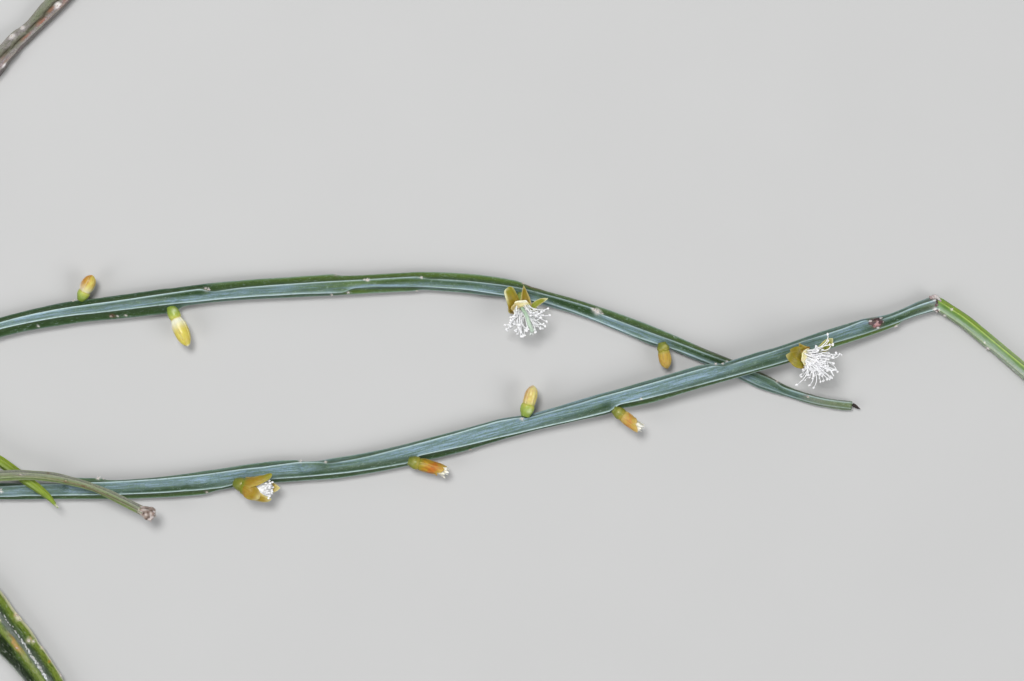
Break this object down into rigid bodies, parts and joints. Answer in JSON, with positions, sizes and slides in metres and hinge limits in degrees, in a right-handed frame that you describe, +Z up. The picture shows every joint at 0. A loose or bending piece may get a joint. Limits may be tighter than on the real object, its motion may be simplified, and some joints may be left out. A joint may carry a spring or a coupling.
{
  "type": "mistletoe cactus flowering spray",
  "caption": "Cut flowering spray of a mistletoe cactus: long thin ribbed stems with interrupted ribs, buds and small open flowers, lying on a surface.",
  "frame": {"origin": "centre of the footprint, on the surface the spray lies on", "axes": "+X along the long flowering stems towards their tips, +Y towards the old branch, +Z up off the surface"},
  "size_m": [0.4354, 0.2441, 0.0173],
  "materials": {
    "glaucous_stem": "waxy blue-green stem skin with a pale bloom, pale rib edges and dark green flanks",
    "fresh_stem": "fresh bright green stem skin, satin",
    "winged_stem": "green stem skin with yellow-green wing edges and a white line on the middle rib",
    "old_stem": "old grey-green stem skin with corky and red-brown marks",
    "woody_stem": "woody grey-brown bark with a pale cut end",
    "dried": "dried grey-pink tissue, matte",
    "ovary": "smooth yellow-green skin, satin",
    "petal": "waxy yellow to orange petals, satin",
    "tepal": "golden-amber translucent tepals with pale edges",
    "stamen": "white filaments and anthers, matte"
  },
  "bodies": {
    "root": {"parent_stem": "woody_stem", "upper_stem": "glaucous_stem", "lower_stem": "glaucous_stem", "terminal_stem": "fresh_stem", "old_branch": "old_stem", "winged_branch": "winged_stem", "withered_branch": "old_stem", "young_shoot": "fresh_stem", "dried_tip": "dried", "withered_crown": "dried", "bud_1_ovary": "ovary", "bud_1_petals": "petal", "bud_2_ovary": "ovary", "bud_2_petals": "petal", "bud_3_ovary": "ovary", "bud_3_petals": "petal", "bud_4_ovary": "ovary", "bud_4_petals": "petal", "bud_4_stamen_tips": "stamen", "bud_5_ovary": "ovary", "bud_5_petals": "petal", "bud_6_ovary": "ovary", "bud_6_petals": "petal", "bud_6_stamen_tips": "stamen", "flower_1_ovary": "ovary", "flower_1_tepal_1": "tepal", "flower_1_tepal_2": "tepal", "flower_1_tepal_3": "tepal", "flower_1_tepal_4": "tepal", "flower_1_tepal_5": "tepal", "flower_1_tepal_6": "tepal", "flower_1_stamens": "stamen", "flower_1_style": "stamen", "flower_2_ovary": "ovary", "flower_2_tepal_1": "tepal", "flower_2_tepal_2": "tepal", "flower_2_tepal_3": "tepal", "flower_2_tepal_4": "tepal", "flower_2_tepal_5": "tepal", "flower_2_tepal_6": "tepal", "flower_2_stamens": "stamen", "flower_2_style": "stamen", "flower_3_ovary": "ovary", "flower_3_tepal_1": "tepal", "flower_3_tepal_2": "tepal", "flower_3_tepal_3": "tepal", "flower_3_tepal_4": "tepal", "flower_3_tepal_5": "tepal", "flower_3_stamens": "stamen"}
  },
  "joints": []
}
